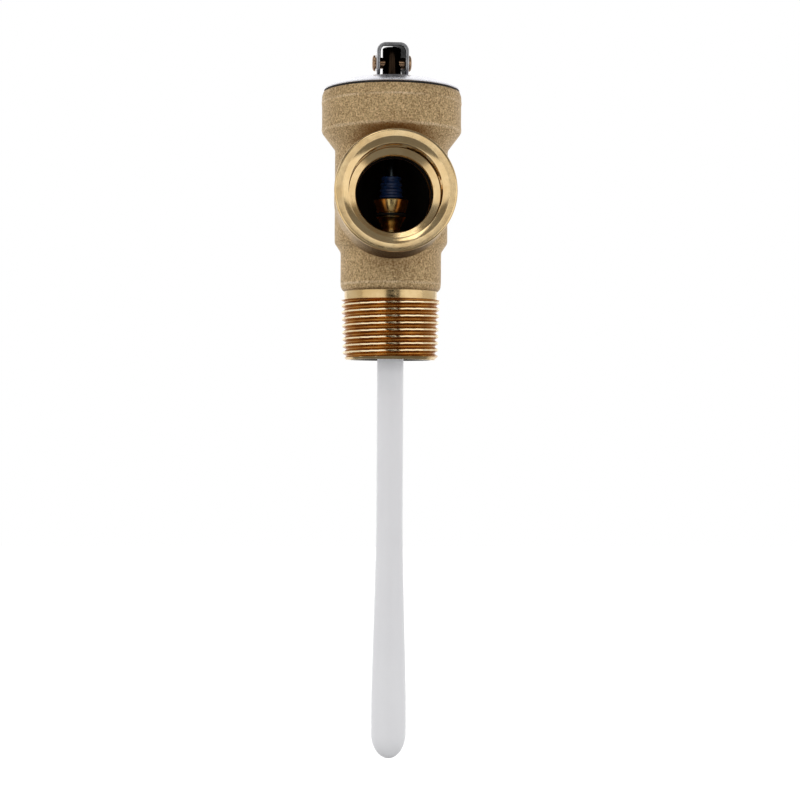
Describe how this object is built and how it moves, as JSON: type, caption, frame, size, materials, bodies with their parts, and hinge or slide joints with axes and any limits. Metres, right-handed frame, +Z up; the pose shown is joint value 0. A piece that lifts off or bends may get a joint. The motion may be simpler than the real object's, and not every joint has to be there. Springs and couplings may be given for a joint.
{
  "type": "pressure relief valve",
  "caption": "Angle-pattern brass pressure and temperature relief valve with a male inlet thread, female side outlet, long immersion probe and a lifting test lever.",
  "frame": {"origin": "centre of the male inlet thread's end face", "axes": "+Z up the valve's axis towards the lever, -Y out of the outlet, +Y along the lever's arm at rest, X along the lever pin"},
  "size_m": [0.0382, 0.0593, 0.2],
  "materials": {
    "cast_brass": "sand-cast brass, fine matt grain",
    "machined_brass": "turned brass, satin",
    "seat_steel": "ground stainless steel",
    "spring_steel": "drawn spring steel",
    "lever_steel": "pressed sheet steel, nickel plated",
    "cover_plate": "pressed plate, pale satin",
    "dark_bronze": "dark oxidised bronze",
    "copper": "drawn copper",
    "probe_plastic": "white moulded plastic coating, satin",
    "bush_plastic": "black moulded plastic",
    "black_rubber": "black rubber",
    "blue_silicone": "blue silicone, ribbed",
    "wax": "pale wax"
  },
  "bodies": {
    "housing": {"valve_body": "cast_brass", "seat_insert": "seat_steel", "stem_bush": "bush_plastic", "cup_gasket": "black_rubber", "spring_cup": "seat_steel", "main_spring": "spring_steel", "adjusting_ring": "machined_brass", "cover_gasket": "black_rubber", "cover_disc": "cover_plate", "thermostat_carrier": "machined_brass", "carrier_ring": "spring_steel", "probe_sheath": "probe_plastic", "wax_tube": "copper", "wax_charge": "wax", "rod_guide": "machined_brass", "return_spring": "spring_steel"},
    "stem": {"valve_stem": "machined_brass", "disc_screw": "machined_brass", "seal_disc": "black_rubber", "disc_holder": "machined_brass", "stem_seal_ring": "black_rubber", "stem_sleeve": "blue_silicone", "stem_clip": "spring_steel", "spring_plate": "machined_brass"},
    "spindle": {"lifting_spindle": "dark_bronze", "swivel_pin": "seat_steel", "lever_pin": "machined_brass"},
    "lever": {"lever": "lever_steel"},
    "thermostat_rod": {"push_rod": "seat_steel", "rod_clip": "spring_steel", "wax_plug": "black_rubber"}
  },
  "joints": [
    {"name": "stem_lift", "type": "slide", "parent": "housing", "child": "stem", "axis": [0, 0, 1], "range_m": [0, 0.0035], "stiffness_N_per_m": 10000, "springref_m": -0.0101, "deforming": ["main_spring"]},
    {"name": "lever_swivel", "type": "hinge", "parent": "stem", "child": "spindle", "pos_m": [0, 0, 0.068], "axis": [0, 0, 1], "continuous": true},
    {"name": "lever_lift", "type": "hinge", "parent": "spindle", "child": "lever", "pos_m": [0, 0, 0.0801], "axis": [1, 0, 0], "range_deg": [0, 80]},
    {"name": "thermostat_push", "type": "slide", "parent": "housing", "child": "thermostat_rod", "axis": [0, 0, 1], "range_m": [0, 0.004], "stiffness_N_per_m": 500, "springref_m": -0.004, "deforming": ["return_spring"]}
  ],
  "couplings": [
    {"joint": "stem_lift", "follows": "lever_lift", "m_per_rad": 0.0025}
  ]
}
